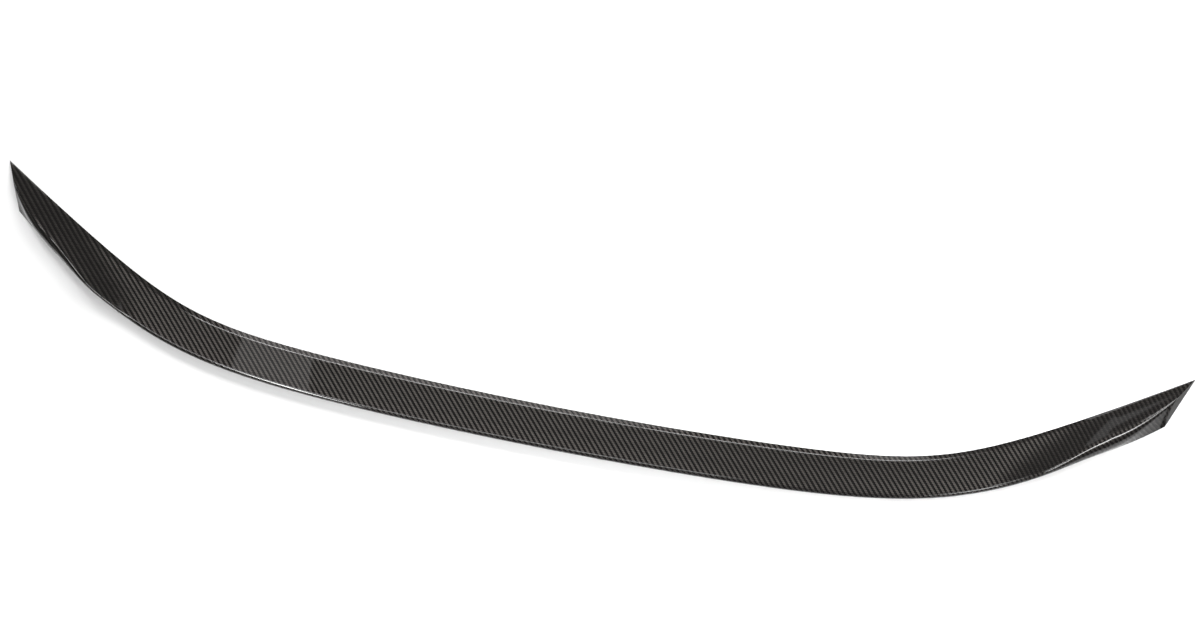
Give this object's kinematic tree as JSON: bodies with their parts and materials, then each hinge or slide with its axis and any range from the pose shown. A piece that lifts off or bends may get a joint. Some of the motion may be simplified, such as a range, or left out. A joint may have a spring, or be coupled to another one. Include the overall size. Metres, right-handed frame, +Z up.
{
  "type": "car rear spoiler",
  "caption": "Boot-lid lip spoiler moulded as one thin carbon-fibre shell: a slim raised lip with swept-forward, pointed wings and a flat bonding seat.",
  "frame": {"origin": "middle of the front bonding land on the centre line, in the plane of the seat", "axes": "+X across the car to its right, +Y towards the front of the car, +Z up from the boot lid"},
  "size_m": [1.2, 0.1762, 0.0174],
  "materials": {
    "carbon_fibre": "clear-coated carbon-fibre twill, high gloss"
  },
  "bodies": {
    "root": {"spoiler_lip": "carbon_fibre"}
  },
  "joints": []
}
